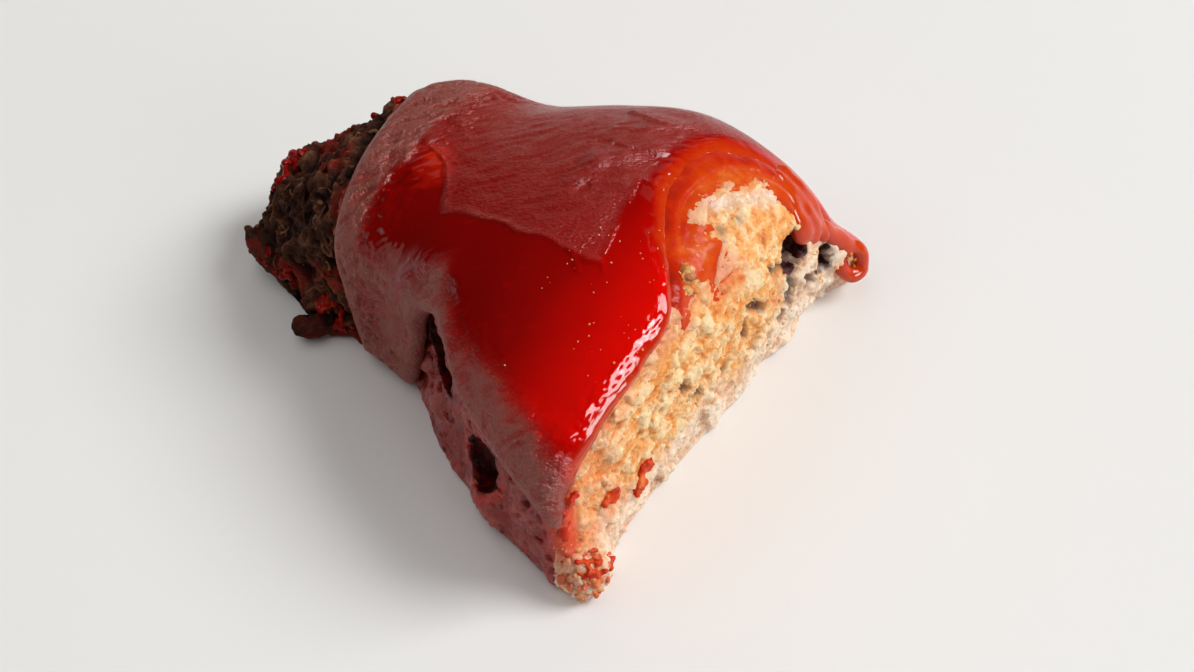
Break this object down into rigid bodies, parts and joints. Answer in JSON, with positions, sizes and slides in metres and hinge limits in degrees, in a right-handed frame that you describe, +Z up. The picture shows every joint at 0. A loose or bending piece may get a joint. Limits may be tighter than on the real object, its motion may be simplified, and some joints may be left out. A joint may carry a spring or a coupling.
{
  "type": "meatloaf",
  "caption": "Heel piece of a free-form meatloaf with a crumbly cut face, a browned craggy end and a thick ketchup glaze over the top and sides.",
  "frame": {"origin": "centre of the bounding box on the flat underside", "axes": "+X out of the knife's cut along the loaf, -X to the browned end, +Y along the cut to the end with the drip, +Z up"},
  "size_m": [0.1274, 0.1064, 0.0537],
  "materials": {
    "baked_mince": "baked minced meat, crumbly where cut, dark brown where it is browned",
    "glaze": "glossy baked ketchup with a fine wrinkled skin"
  },
  "bodies": {
    "root": {"meat": "baked_mince", "ketchup_glaze": "glaze"}
  },
  "joints": []
}
